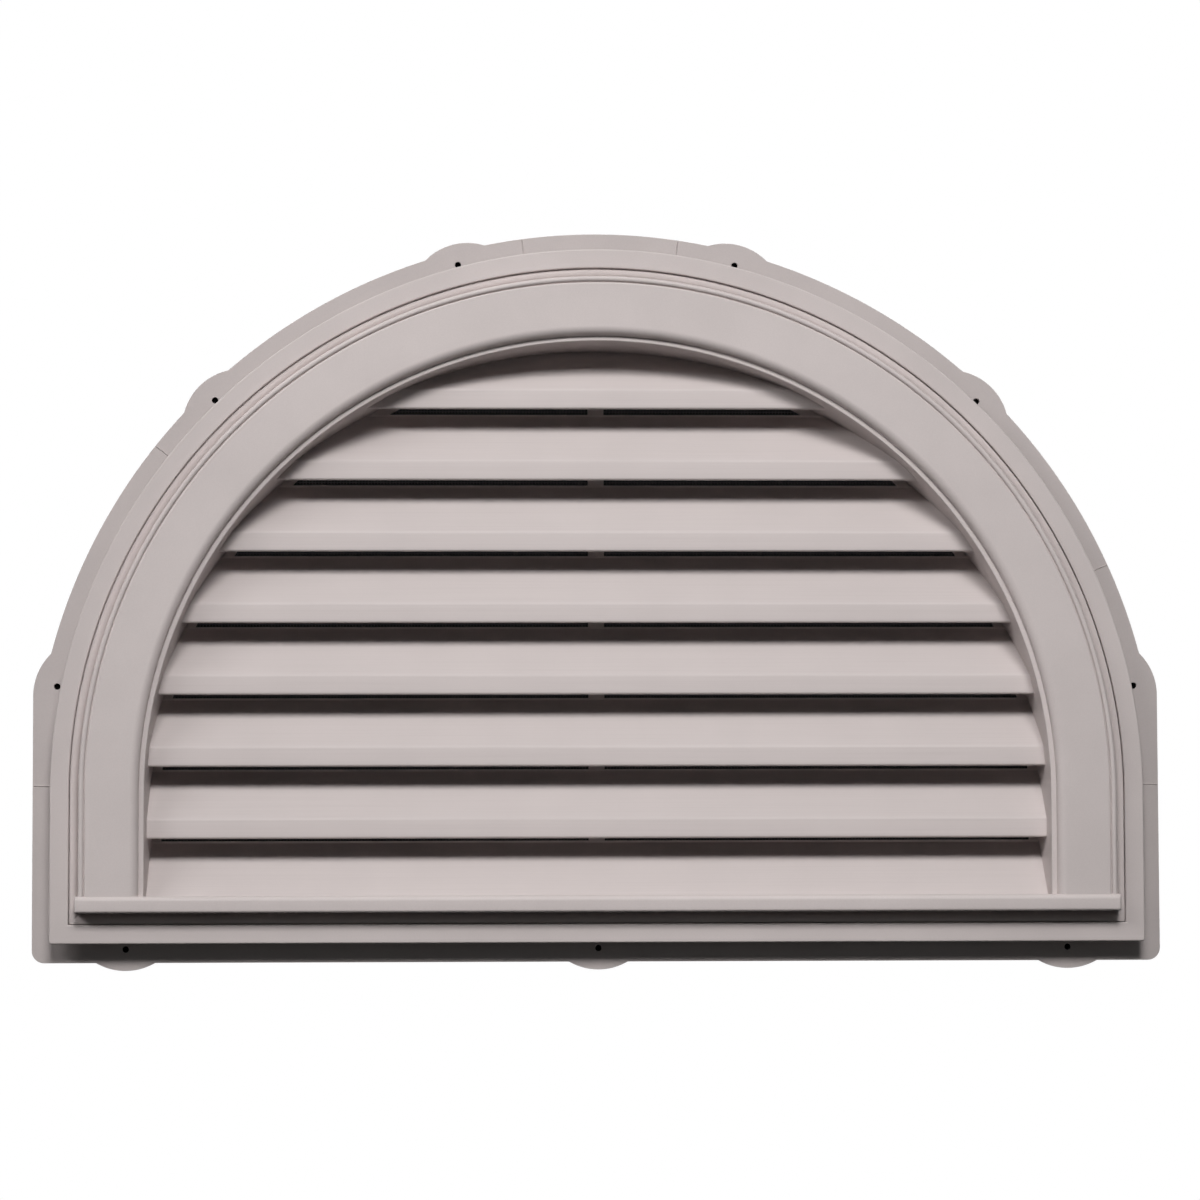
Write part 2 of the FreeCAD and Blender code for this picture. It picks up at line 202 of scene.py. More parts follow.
class VentSizes(bpy.types.PropertyGroup):
    """Sizes of the vent's mouldings."""
    flange_reach: length("Flange reach", "Half of the overall width", FLANGE_HIGH.x)
    leg_height: length("Leg height", "Straight leg below the arch", FLANGE_HIGH.z - FLANGE_HIGH.x)
    wall: length("Wall", "Moulded wall thickness", -FLANGE_LOW.y)
    flange_corner: length("Flange corner", "Rounding of the bottom corners", 9.5 * MM)
    ear_radius: length("Ear radius", "Curve of the nailing ears", 45 * MM)
    ear_rise: length("Ear rise", "How far an ear stands out of the flange", -FLANGE_LOW.z)
    shoulder_height: length("Shoulder height", "Straight edge of the side ears above the springing", 75 * MM)
    bottom_ear_x: length("Bottom ear place", "Outer bottom ears from the middle", 360.5 * MM)
    nail_hole: length("Nail hole", "Diameter of the nail holes", 4.76 * MM)
    nail_margin: length("Nail margin", "Hole centre to flange edge", 10.3 * MM)
    ring_width: length("Ring width", "Face of the trim ring", 14.6 * MM)
    ring_corner: length("Ring corner", "Rounded outer corners of the ring", 2.0 * MM)
    ring_edge: length("Ring edge", "Rounded front edges of the ring", 1.2 * MM)
    ring_return: length("Ring return", "Rim turned back at the ring's outer edge", 6 * MM)
    seam: length("Seam", "Gap between the ring and the neck", 0.4 * MM)
    leg_gap: length("Leg gap", "Ring leg to neck", 1.8 * MM)
    tooth_rise: length("Tooth rise", "Height of the teeth on the neck", 1.1 * MM)
    barb_length: length("Barb length", "Length of the barb on the ring's leg", 2.7 * MM)
    ledge_fall: length("Ledge fall", "Fall of the rounded ledge towards the bead", 5.5 * MM)
    bead_setback: length("Bead setback", "Bead inside the edge of the casing", 2.2 * MM)
    bead_radius: length("Bead radius", "Half-round bead on the surround", 2.1 * MM)
    quirk_width: length("Quirk width", "Groove between bead and broad face", 0.8 * MM)
    face_edge: length("Face edge", "Rounded outer edge of the broad face", 1.0 * MM)
    face_width: length("Face width", "Broad flat face of the surround", 33.5 * MM)
    roll_radius: length("Roll radius", "Inner edge of the face, rolled back to the step", 7 * MM)
    step_width: length("Step width", "Narrow step round the louvres", 3.9 * MM)
    step_edge: length("Step edge", "Rounded inner edge of the step", 0.9 * MM)
    sill_edge: length("Sill edge", "Rounded upper edge of the sill", 4 * MM)
    sill_foot: length("Sill foot", "Rounded lower edge and ends of the sill", 2 * MM)
    blade_pitch: length("Blade pitch", "Height from one blade to the next", 55 * MM)
    blade_drop: length("Blade drop", "Lowest nose line above the underside of the sill", 1.5 * MM)
    blade_thickness: length("Blade thickness", "Thickness of a blade", 2.3 * MM)
    blade_run: length("Blade run", "Depth of a blade, front to back", 31 * MM)
    nose_depth: length("Nose depth", "Front of the blades", 9 * MM)
    nose_height: length("Nose height", "Upright front of a blade", 15 * MM)
    nose_edge: length("Nose edge", "Rounded lower edge of the nose", 1.8 * MM)
    break_edge: length("Break edge", "Softened edge between nose and slope", 1.2 * MM)
    lip_height: length("Lip height", "Rain lip on the back edge", 2.7 * MM)
    lip_thickness: length("Lip thickness", "Thickness of the rain lip", 2 * MM)
    lip_clear: length("Lip clearance", "Rain lip below the nose line above", 1.2 * MM)
    rim_width: length("Rim width", "Inward rim behind the blades", 7 * MM)
    post_width: length("Post width", "Post that ties the blades", 12.2 * MM)
    post_bite: length("Post bite", "How far the post grips the rain lips", 0.5 * MM)
    shoulder_hole_angle: angle("Shoulder hole", "Angle of the side nail holes on the arch", 11.2)
    flank_ear_angle: angle("Flank ear", "Angle of the lower ears on the arch", 45.8)
    crown_ear_angle: angle("Crown ear", "Angle of the upper ears on the arch", 75.3)
    draft: angle("Draft", "Taper of the wall round the louvres", 3.5)
    blade_count: bpy.props.IntProperty(
        name="Blades", description="Number of louvre blades, with the one that runs into the sill",
        default=8, min=2)


class VentFinish(bpy.types.PropertyGroup):
    """Colours of the vent and the level of its studio light."""
    plastic: colour("Plastic", "Coloured-through polypropylene", "#cbc1bf")
    streak: colour("Streak", "Grain lines on the blades", "#c8bebc")
    thread: colour("Screen thread", "Coated glass-fibre thread", "#3a3a3b")
    paper: colour("Floor", "Pale studio floor", "#f4f3f1")
    # painted shade: colour of the dark discs seen through the nail holes
    hole_shade: colour("Hole shade", "Backdrop behind the nail holes", "#141313")
    key_power: power("Key", "Softbox from the upper left", 16.5)
    top_power: power("Top", "Softbox from above the camera", 8.0)
    back_power: power("Back", "Softbox behind the vent", 24.0)
    ambient: bpy.props.FloatProperty(
        name="Ambient", description="Even light from all round", default=0.04, min=0, max=1)


def worked_out(s):
    """Sizes that follow from the settable ones and the frame."""
    w = types.SimpleNamespace()
    w.centre = s.leg_height
    w.ring_margin = s.flange_reach - RING_HIGH.x
    w.ring_inset = w.ring_margin + s.ring_width
    w.neck_inset = w.ring_inset + s.seam
    w.ring_depth = -RING_LOW.y
    w.barb_back = -RING_HIGH.y
    w.ledge_depth = -NECK_LOW.y
    w.ledge_root = w.ledge_depth - s.ledge_fall - LEDGE_SHARE * s.wall
    w.casing = SURROUND_HIGH.x
    w.face_depth = -SURROUND_LOW.y
    w.bead_out = w.casing - s.bead_setback
    w.face = w.bead_out - 2 * s.bead_radius - s.quirk_width
    w.roll = w.face - s.face_width
    w.step = w.roll - s.roll_radius
    w.opening = w.step - s.step_width
    w.step_depth = w.face_depth - s.roll_radius
    w.wall_front = w.step_depth - s.wall
    w.back_depth = -WALL_HIGH.y
    w.sill_bottom = SILL_LOW.z
    w.sill_top = SILL_HIGH.z
    w.sill_depth = -SILL_LOW.y
    w.sill_reach = SILL_HIGH.x
    w.casing_bottom = w.sill_bottom + w.sill_reach - w.casing
    w.first_nose = w.sill_bottom + s.blade_drop
    w.slope_rise = s.blade_pitch - s.nose_height - s.lip_height
    w.lip_front = s.nose_depth - s.blade_run
    w.lip_depth = w.lip_front - s.lip_thickness
    w.taper = math.tan(s.draft)
    return w


def settings(context):
    """Sizes, finish and worked-out sizes."""
    sizes = context.scene.gable_vent_sizes
    return sizes, context.scene.gable_vent_finish, worked_out(sizes)


def wall_reach(w, depth):
    """Reach of the drafted wall round the louvres."""
    return w.opening - (w.step_depth - depth) * w.taper


def arc(centre_u, centre_v, radius, start, end, steps):
    """Points round a centre, angles in radians."""
    turns = [start + (end - start) * k / steps for k in range(steps + 1)]
    return [(centre_u + radius * math.cos(t), centre_v + radius * math.sin(t)) for t in turns]


def circle(x, z, radius):
    """Points round a whole circle."""
    return arc(x, z, radius, 0, 2 * math.pi, HOLE_STEPS)[:-1]


def clean(mesh):
    """Merge doubles, drop faces with no area and turn the rest outwards."""
    shell = bmesh.new()
    shell.from_mesh(mesh)
    bmesh.ops.remove_doubles(shell, verts=shell.verts, dist=MERGE_DISTANCE)
    bmesh.ops.dissolve_degenerate(shell, edges=shell.edges, dist=NO_LENGTH)
    bmesh.ops.recalc_face_normals(shell, faces=shell.faces)
    shell.to_mesh(mesh)
    shell.free()
    return mesh


def raw_mesh(name, points, faces):
    """A mesh as given."""
    mesh = bpy.data.meshes.new(name)
    mesh.from_pydata(points, [], faces)
    return mesh


def new_mesh(name, points, faces):
    """A cleaned mesh."""
    return clean(raw_mesh(name, points, faces))


def shaded(mesh, degrees):
    """Smooth shading with crisp edges past an angle."""
    mesh.polygons.foreach_set("use_smooth", [True] * len(mesh.polygons))
    mesh.set_sharp_from_angle(angle=math.radians(degrees))
    mesh.update()


def joined(name, meshes):
    """One mesh from several."""
    whole = bmesh.new()
    for mesh in meshes:
        whole.from_mesh(mesh)
    result = bpy.data.meshes.new(name)
    whole.to_mesh(result)
    whole.free()
    for mesh in meshes:
        bpy.data.meshes.remove(mesh)
    return result


def placed(name, data):
    """An object in the scene."""
    obj = bpy.data.objects.new(name, data)
    bpy.context.scene.collection.objects.link(obj)
    return obj


def worn_down(holder):
    """The plain mesh that an object comes to, in place of the object."""
    mesh = bpy.data.meshes.new_from_object(holder.evaluated_get(bpy.context.evaluated_depsgraph_get()))
    holder.modifiers.clear()
    bpy.data.objects.remove(holder)
    return mesh


def piece(name, mesh, material, node, degrees=CRISP):
    """Put a finished mesh in the scene in place of its CAD node."""
    shaded(mesh, degrees)
    mesh.materials.clear()
    mesh.materials.append(material)
    mesh.polygons.foreach_set("material_index", [0] * len(mesh.polygons))
    obj = placed(name, mesh)
    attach(obj, "root")
    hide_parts(node)
    return obj


def prop(name, mesh, material):
    """Put a finished mesh on the stage."""
    mesh.materials.append(material)
    placed(name, mesh)


def skin(rows, closed=False):
    """Points and side faces of a skin over rows of points, each row a closed section."""
    count = len(rows[0])
    points = [spot for row in rows for spot in row]
    faces = []
    for a in range(0, len(points) if closed else len(points) - count, count):
        b = (a + count) % len(points)
        for k in range(count):
            n = (k + 1) % count
            faces.append((a + k, a + n, b + n, b + k))
    return points, faces


def capped(rows):
    """The same skin with its first and last section filled."""
    points, faces = skin(rows)
    count = len(rows[0])
    return points, faces + [tuple(range(count)), tuple(range(len(points) - count, len(points)))]


def loft(name, rows):
    """A solid skinned over rows of points."""
    return new_mesh(name, *capped(rows))


def prism(name, corners, shift):
    """A polygon of points pulled along a shift."""
    return loft(name, [[Vector(c) for c in corners], [Vector(c) + Vector(shift) for c in corners]])


def block(name, x0, x1, back, front, z0, z1):
    """A box given by its depths."""
    corners = [(x0, -back, z0), (x0, -front, z0), (x0, -front, z1), (x0, -back, z1)]
    return prism(name, corners, (x1 - x0, 0, 0))


def sweep(name, profile, stations):
    """Closed profile of (inset, depth) points run round a closed row of stations."""
    rows = []
    for station in stations:
        spots = [(station(inset), depth) for inset, depth in profile]
        rows.append([(x, -depth, z) for (x, z), depth in spots])
    return new_mesh(name, *skin(rows, closed=True))


def outline_stations(s, w, corner_inset, corner_radius):
    """Stations round the flange outline, each turning an inset into X and Z."""
    reach = s.flange_reach

    def bottom(x):
        return lambda inset: (x, inset)

    def corner(side, turn):
        limit = corner_inset + corner_radius

        def place(inset):
            swing = max(limit - inset, 0.0)
            centre = max(limit, inset)
            return side * (reach - centre + swing * math.cos(turn)), centre - swing * math.sin(turn)
        return place

    def leg(side, z):
        return lambda inset: (side * (reach - inset), z)

    def arch(turn):
        return lambda inset: on_arch(w, reach - inset, turn)

    turns = [QUARTER * k / CORNER_STEPS for k in range(CORNER_STEPS + 1)]
    bottom_end = 0.9 * reach
    leg_foot = 0.4 * w.centre
    heights = [leg_foot + (w.centre - leg_foot) * k / LEG_STEPS for k in range(LEG_STEPS)]
    stations = [bottom(bottom_end * k / BOTTOM_STEPS) for k in range(-BOTTOM_STEPS, BOTTOM_STEPS + 1)]
    stations += [corner(1, turn) for turn in reversed(turns)]
    stations += [leg(1, z) for z in heights]
    stations += [arch(math.pi * k / ARCH_STEPS) for k in range(ARCH_STEPS + 1)]
    stations += [leg(-1, z) for z in reversed(heights)]
    stations += [corner(-1, turn) for turn in turns]
    return stations


def sill_line(s, w, front):
    """Outside of the sill's section, from the back of its underside to the back of its top."""
    line = [(w.ledge_depth, w.sill_bottom)]
    line += arc(front - s.sill_foot, w.sill_bottom + s.sill_foot, s.sill_foot, -QUARTER, 0, steps=6)
    line += arc(front - s.sill_edge, w.sill_top - s.sill_edge, s.sill_edge, 0, QUARTER, steps=8)
    return line + [(w.ledge_depth, w.sill_top)]


def plate(name, outlines, back, front, edge):
    """A flat plate from closed outlines of X and Z, the first its edge and the others holes."""
    flat = bpy.data.curves.new(name, "CURVE")
    flat.dimensions = "2D"
    flat.fill_mode = "BOTH"
    flat.extrude = (front - back) / 2 - edge
    flat.bevel_depth = edge
    flat.bevel_resolution = 2
    flat.offset = -edge
    for outline in outlines:
        spline = flat.splines.new("POLY")
        spline.points.add(len(outline) - 1)
        spline.use_cyclic_u = True
        for spot, (x, z) in zip(spline.points, outline):
            spot.co = (x, z, 0, 1)
    mesh = worn_down(placed(name, flat))
    bpy.data.curves.remove(flat)
    middle = Matrix.Translation((0, -(front + back) / 2, 0))
    mesh.transform(middle @ Matrix.Rotation(QUARTER, 4, "X"))
    return clean(mesh)


def on_arch(w, reach, turn):
    """X and Z of a point on the arch."""
    return reach * math.cos(turn), w.centre + reach * math.sin(turn)


def arch_outline(w, reach, bottom):
    """Closed outline with a half-round top and straight legs."""
    return [(-reach, bottom), (reach, bottom)] + arc(0, w.centre, reach, 0, math.pi, ARCH_STEPS)


def add_node(tree, kind, inputs=None, **options):
    """Add a node, set its options, and set its inputs or link them to a socket or a node's first output."""
    node = tree.nodes.new(kind)
    for key, value in options.items():
        setattr(node, key, value)
    for key, value in (inputs or {}).items():
        if isinstance(value, bpy.types.Node):
            value = value.outputs[0]
        if isinstance(value, bpy.types.NodeSocket):
            tree.links.new(value, node.inputs[key])
        else:
            node.inputs[key].default_value = value
    return node


def new_tree(name, sizes):
    """A geometry node tree with a shape, named sizes and a material as its inputs."""
    tree = bpy.data.node_groups.new(name, "GeometryNodeTree")
    tree.interface.new_socket("Geometry", in_out="OUTPUT", socket_type="NodeSocketGeometry")
    inputs = [("Geometry", "NodeSocketGeometry")] + sizes + [("Material", "NodeSocketMaterial")]
    for label, kind in inputs:
        tree.interface.new_socket(label, in_out="INPUT", socket_type=kind)
    return tree


def end_tree(tree, geometry, material):
    """Close a tree with real geometry and its material."""
    real = add_node(tree, "GeometryNodeRealizeInstances", {"Geometry": geometry})
    dressed = add_node(tree, "GeometryNodeSetMaterial", {"Geometry": real, "Material": material})
    add_node(tree, "NodeGroupOutput", {0: dressed})


def grown(name, mesh, tree, values):
    """The plain mesh that a tree makes from a mesh."""
    holder = placed(name, mesh)
    grower = holder.modifiers.new(name, "NODES")
    grower.node_group = tree
    for item in tree.interface.items_tree:
        if item.in_out == "INPUT" and item.name in values:
            grower[item.identifier] = values[item.name]
    result = worn_down(holder)
    bpy.data.meshes.remove(mesh)
    return clean(result)


def arch_tree():
    """Bends a straight moulding over the arch.

    Each point comes in as (run, depth, reach): the run is the angle from the crown, and past a
    quarter turn it is the way down the leg."""
    name = "bend_over_arch"
    if name in bpy.data.node_groups:
        return bpy.data.node_groups[name]
    tree = new_tree(name, [("Springing height", FLOAT)])
    given = add_node(tree, "NodeGroupInput").outputs
    place = add_node(tree, "GeometryNodeInputPosition")
    run, depth, reach = add_node(tree, SPLIT, {0: place}).outputs
    turn = add_node(tree, "ShaderNodeClamp", {"Value": run, "Min": -QUARTER, "Max": QUARTER})
    distance = add_node(tree, MATH, {0: run}, operation="ABSOLUTE")
    past = add_node(tree, MATH, {0: distance, 1: QUARTER}, operation="SUBTRACT")
    drop = add_node(tree, MATH, {0: past, 1: 0.0}, operation="MAXIMUM")
    sine = add_node(tree, MATH, {0: turn}, operation="SINE")
    cosine = add_node(tree, MATH, {0: turn}, operation="COSINE")
    across = add_node(tree, MATH, {0: reach, 1: sine}, operation="MULTIPLY")
    rise = add_node(tree, MATH, {
        0: reach, 1: cosine, 2: given["Springing height"]}, operation="MULTIPLY_ADD")
    height = add_node(tree, MATH, {0: rise, 1: drop}, operation="SUBTRACT")
    inward = add_node(tree, MATH, {0: depth, 1: -1.0}, operation="MULTIPLY")
    bent = add_node(tree, COMBINE, {0: across, 1: inward, 2: height})
    moved = add_node(tree, "GeometryNodeSetPosition", {"Geometry": given["Geometry"], "Position": bent})
    end_tree(tree, moved, given["Material"])
    return tree


def arched(name, profile, leg, w, material):
    """Closed profile of (reach, depth) points drawn along a straight run and bent over the arch."""
    runs = [-QUARTER - leg * k / LEG_STEPS for k in range(LEG_STEPS, 0, -1)]
    runs += [-QUARTER + math.pi * k / ARCH_STEPS for k in range(ARCH_STEPS + 1)]
    runs += [QUARTER + leg * k / LEG_STEPS for k in range(1, LEG_STEPS + 1)]
    straight = raw_mesh(name, *capped([[(run, depth, reach) for reach, depth in profile] for run in runs]))
    return grown(name, straight, arch_tree(), {"Springing height": w.centre, "Material": material})


def blade_tree():
    """Stacks blades and trims their ends to the drafted wall of the half-round opening.

    The blade comes in with its half-width as 1, so each point's X is its share of the room there."""
    name = "louvre_bank"
    if name in bpy.data.node_groups:
        return bpy.data.node_groups[name]
    floats = ("Pitch", "First nose", "Springing height", "Opening reach", "Step depth", "Taper")
    tree = new_tree(name, [("Count", "NodeSocketInt")] + [(label, FLOAT) for label in floats])
    given = add_node(tree, "NodeGroupInput").outputs
    start = add_node(tree, COMBINE, {2: given["First nose"]})
    pitch = add_node(tree, COMBINE, {2: given["Pitch"]})
    rows = add_node(tree, "GeometryNodeMeshLine", {
        "Count": given["Count"], "Start Location": start, "Offset": pitch}, mode="OFFSET")
    stack = add_node(tree, "GeometryNodeInstanceOnPoints", {"Points": rows, "Instance": given["Geometry"]})
    blades = add_node(tree, "GeometryNodeRealizeInstances", {"Geometry": stack})
    place = add_node(tree, "GeometryNodeInputPosition")
    share, inward, z = add_node(tree, SPLIT, {0: place}).outputs
    behind = add_node(tree, MATH, {0: given["Step depth"], 1: inward}, operation="ADD")
    lost = add_node(tree, MATH, {0: behind, 1: given["Taper"]}, operation="MULTIPLY")
    reach = add_node(tree, MATH, {0: given["Opening reach"], 1: lost}, operation="SUBTRACT")
    above = add_node(tree, MATH, {0: z, 1: given["Springing height"]}, operation="SUBTRACT")
    rise = add_node(tree, MATH, {0: above, 1: 0.0}, operation="MAXIMUM")
    reach_square = add_node(tree, MATH, {0: reach, 1: reach}, operation="MULTIPLY")
    rise_square = add_node(tree, MATH, {0: rise, 1: rise}, operation="MULTIPLY")
    left = add_node(tree, MATH, {0: reach_square, 1: rise_square}, operation="SUBTRACT")
    room = add_node(tree, MATH, {0: left, 1: 0.0}, operation="MAXIMUM")
    half = add_node(tree, MATH, {0: room}, operation="SQRT")
    across = add_node(tree, MATH, {0: share, 1: half}, operation="MULTIPLY")
    crown = add_node(tree, MATH, {0: given["Springing height"], 1: reach}, operation="ADD")
    height = add_node(tree, MATH, {0: z, 1: crown}, operation="MINIMUM")
    trimmed = add_node(tree, COMBINE, {0: across, 1: inward, 2: height})
    moved = add_node(tree, "GeometryNodeSetPosition", {"Geometry": blades, "Position": trimmed})
    end_tree(tree, moved, given["Material"])
    return tree


def blade_lines(s, w, with_nose):
    """Front and back of a blade's section as rows of (depth, height), heights from its nose line."""
    slope = math.hypot(s.blade_run, w.slope_rise)
    shift = (-s.blade_thickness * w.slope_rise / slope, -s.blade_thickness * s.blade_run / slope)
    gradient = w.slope_rise / s.blade_run
    nose_back = s.nose_depth - s.blade_thickness

    def under(depth):
        return s.nose_height + shift[1] - (depth - s.nose_depth - shift[0]) * gradient

    if with_nose:
        front = arc(s.nose_depth - s.nose_edge, s.nose_edge, s.nose_edge, -QUARTER, 0, NOSE_STEPS)
        back = [(nose_back, s.nose_edge * k / NOSE_STEPS) for k in range(NOSE_STEPS + 1)]
        soft = s.break_edge
        straight = s.nose_height - soft
        rises = [s.nose_edge + (straight - s.nose_edge) * k / 3 for k in (1, 2)]
        front += [(s.nose_depth, rise) for rise in rises]
        back += [(nose_back, rise) for rise in rises]
        foot = (s.nose_depth - soft * s.blade_run / slope, s.nose_height + soft * w.slope_rise / slope)
        foot_back = (nose_back, under(nose_back))
        bend = ((s.nose_depth, straight), (s.nose_depth, s.nose_height), foot)
        for k in range(BREAK_STEPS + 1):
            t = k / BREAK_STEPS
            front.append(tuple((1 - t) ** 2 * a + 2 * t * (1 - t) * b + t * t * c
                               for a, b, c in zip(*bend)))
            back.append((nose_back, straight + (foot_back[1] - straight) * t))
    else:
        drop = s.nose_height - (w.sill_top - s.wall - w.first_nose)
        foot = (s.nose_depth + drop / gradient, s.nose_height - drop)
        foot_back = (foot[0] + shift[0] + shift[1] / gradient, foot[1])
        front = [foot]
        back = [foot_back]
    top = (w.lip_front, s.nose_height + w.slope_rise)
    top_back = (w.lip_depth, under(w.lip_depth))
    for k in range(1, SLOPE_STEPS + 1):
        t = k / SLOPE_STEPS
        front.append(tuple(a + (b - a) * t for a, b in zip(foot, top)))
        back.append(tuple(a + (b - a) * t for a, b in zip(foot_back, top_back)))
    lip_top = s.blade_pitch - s.lip_clear
    front.append((w.lip_front, lip_top))
    back.append((w.lip_depth, lip_top))
    return front, back


def one_blade(name, s, w, with_nose):
    """A blade of unit half-width, with its ends closed."""
    front, back = blade_lines(s, w, with_nose)
    loop = front + back[::-1]
    count = len(loop)
    shares = [-1 + 2 * k / BLADE_COLUMNS for k in range(BLADE_COLUMNS + 1)]
    points, faces = skin([[(share, -depth, z) for depth, z in loop] for share in shares])
    for end in (0, BLADE_COLUMNS * count):
        for k in range(len(front) - 1):
            faces.append((end + k, end + k + 1, end + count - 2 - k, end + count - 1 - k))
    return raw_mesh(name, points, faces)


def new_material(name):
    """A node material and its tree, emptied if it is there already."""
    material = bpy.data.materials.get(name) or bpy.data.materials.new(name)
    material.use_nodes = True
    tree = material.node_tree
    tree.nodes.clear()
    return material, tree


def rgba(tint, level=1.0):
    """A colour at a level of brightness, with full alpha."""
    return tuple(min(c * level, 1) for c in tint) + (1.0,)


def moulded_polypropylene(finish, name="satin moulded polypropylene", level=1.0):
    """Satin polypropylene, coloured through and moulded on a fine spark-eroded tool.

    It looks even and slightly soft, with a broad dull sheen, faint clouding where the melt flowed,
    and a stipple that just breaks the highlights.  A level below one draws it a shade darker."""
    material, tree = new_material(name)
    space = add_node(tree, COORDINATES).outputs["Object"]
    cloud = add_node(tree, NOISE, {
        "Vector": space, "Scale": 1 / CLOUD_SIZE, "Detail": 3.0, "Roughness": 0.55}).outputs["Fac"]
    stipple = add_node(tree, NOISE, {
        "Vector": space, "Scale": 1 / STIPPLE_SIZE, "Detail": 2.0, "Roughness": 0.6}).outputs["Fac"]
    flow = add_node(tree, RANGE, {**NOISE_SPAN, "Value": cloud})
    tone = add_node(tree, MIX, {
        "Factor": flow,
        MIX_A: rgba(finish.plastic, 0.965 * level), MIX_B: rgba(finish.plastic, 1.035 * level)},
        data_type="RGBA").outputs[MIXED]
    speck = add_node(tree, RANGE, {**NOISE_SPAN, "Value": stipple, "To Min": 0.975, "To Max": 1.02})
    dotted = add_node(tree, VECTOR_MATH, {0: tone, "Scale": speck}, operation="SCALE")
    rough = add_node(tree, RANGE, {**NOISE_SPAN, "Value": stipple, "To Min": 0.46, "To Max": 0.56})
    bump = add_node(tree, BUMP, {"Strength": 0.25, "Distance": 0.06 * MM, "Height": stipple})
    surface = add_node(tree, SURFACE, {
        "Base Color": dotted, "Roughness": rough, "Normal": bump,
        "IOR": PLASTIC_IOR, "Specular IOR Level": PLASTIC_SHEEN})
    add_node(tree, OUTPUT, {"Surface": surface})
    return material


def darker_flange_polypropylene(finish):
    """The flange's polypropylene, drawn a shade darker than the body's."""
    return moulded_polypropylene(finish, "sand-blasted polypropylene", FLANGE_LEVEL)


def ring_polypropylene(finish):
    """The ring is moulded apart from the body, and is drawn a trace darker than the body."""
    return moulded_polypropylene(finish, "satin ring polypropylene", RING_LEVEL)


def grained_polypropylene(finish):
    """The same polypropylene, moulded on a tool etched with wood grain.

    Long fine lines run along each blade, slightly darker and duller in the grooves.  The colour also
    follows the way a face looks: upright noses get painted light, a shade paler, and up-facing slopes
    get painted shade, a shade darker, evening out how the lamps fall on them."""
    material, tree = new_material("wood-grained polypropylene")
    space = add_node(tree, COORDINATES).outputs["Object"]
    along = add_node(tree, "ShaderNodeMapping", {
        "Vector": space, "Scale": (1 / GRAIN_RUN, 1 / GRAIN_WIDTH, 1 / GRAIN_WIDTH)})
    grain = add_node(tree, NOISE, {
        "Vector": along, "Scale": 1.0, "Detail": 4.0, "Roughness": 0.62, "Distortion": 0.35}).outputs["Fac"]
    broad = add_node(tree, NOISE, {"Vector": space, "Scale": 1 / GRAIN_CLOUD, "Detail": 2.0}).outputs["Fac"]
    groove = add_node(tree, RANGE, {
        "Value": grain, "From Min": 0.33, "From Max": 0.55, "To Min": 0.0, "To Max": 1.0})
    tone = add_node(tree, MIX, {
        "Factor": groove, MIX_A: rgba(finish.streak), MIX_B: rgba(finish.plastic)},
        data_type="RGBA").outputs[MIXED]
    facing = add_node(tree, "ShaderNodeNewGeometry").outputs["Normal"]
    tilt = add_node(tree, SPLIT, {0: facing}).outputs[2]
    # painted light and shade by facing: upright noses paler, up-facing slopes darker
    painted_facing_shade = add_node(tree, RANGE, {
        "Value": tilt, "From Min": 0.1, "From Max": 0.6, "To Min": 1.04, "To Max": 0.94},
        interpolation_type="SMOOTHSTEP")
    cloud = add_node(tree, RANGE, {**NOISE_SPAN, "Value": broad, "To Min": 0.985, "To Max": 1.02})
    shade = add_node(tree, MATH, {0: cloud, 1: painted_facing_shade}, operation="MULTIPLY")
    clouded = add_node(tree, VECTOR_MATH, {0: tone, "Scale": shade}, operation="SCALE")
    rough = add_node(tree, RANGE, {
        "Value": groove, "From Min": 0.0, "From Max": 1.0, "To Min": 0.58, "To Max": 0.5})
    bump = add_node(tree, BUMP, {"Strength": 0.08, "Distance": 0.08 * MM, "Height": grain})
    surface = add_node(tree, SURFACE, {
        "Base Color": clouded, "Roughness": rough, "Normal": bump,
        "IOR": PLASTIC_IOR, "Specular IOR Level": PLASTIC_SHEEN})
    add_node(tree, OUTPUT, {"Surface": surface})
    return material


def coated_glass_mesh(finish):
    """Plastic-coated glass-fibre insect screen: a plain weave of charcoal threads, with painted shade in the
    gaps between them, near black, for the dark seen through the open weave.
    """
    material, tree = new_material("coated glass-fibre screen")
    space = add_node(tree, COORDINATES).outputs["Object"]
    x, _, z = add_node(tree, SPLIT, {0: space}).outputs
    heights = []
    for axis in (x, z):
        phase = add_node(tree, MATH, {0: axis, 1: math.pi / THREAD_PITCH}, operation="MULTIPLY")
        wave = add_node(tree, MATH, {0: phase}, operation="SINE")
        ridge = add_node(tree, MATH, {0: wave}, operation="ABSOLUTE")
        heights.append(add_node(tree, RANGE, {"Value": ridge, "From Min": 0.72, "From Max": 0.95}))
    weave = add_node(tree, MATH, {0: heights[0], 1: heights[1]}, operation="MAXIMUM")
    # the gaps are painted near black: painted shade for the dark behind the open weave
    tone = add_node(tree, MIX, {
        "Factor": weave, MIX_A: rgba(finish.thread, 0.08), MIX_B: rgba(finish.thread)},
        data_type="RGBA").outputs[MIXED]
    rough = add_node(tree, RANGE, {"Value": weave, "To Min": 0.95, "To Max": 0.55})
    bump = add_node(tree, BUMP, {"Strength": 0.7, "Distance": 0.3 * MM, "Height": weave})
    surface = add_node(tree, SURFACE, {
        "Base Color": tone, "Roughness": rough, "Normal": bump, "IOR": 1.5})
    add_node(tree, OUTPUT, {"Surface": surface})
    return material


def background_rays(tree):
    """One for rays that show the background, straight or mirrored, and nought for light on the object."""
    path = add_node(tree, "ShaderNodeLightPath").outputs
    mirrored = add_node(tree, MATH, {
        0: path["Is Glossy Ray"], 1: path["Is Transmission Ray"]}, operation="MAXIMUM")
    return add_node(tree, MATH, {0: path["Is Camera Ray"], 1: mirrored}, operation="MAXIMUM")


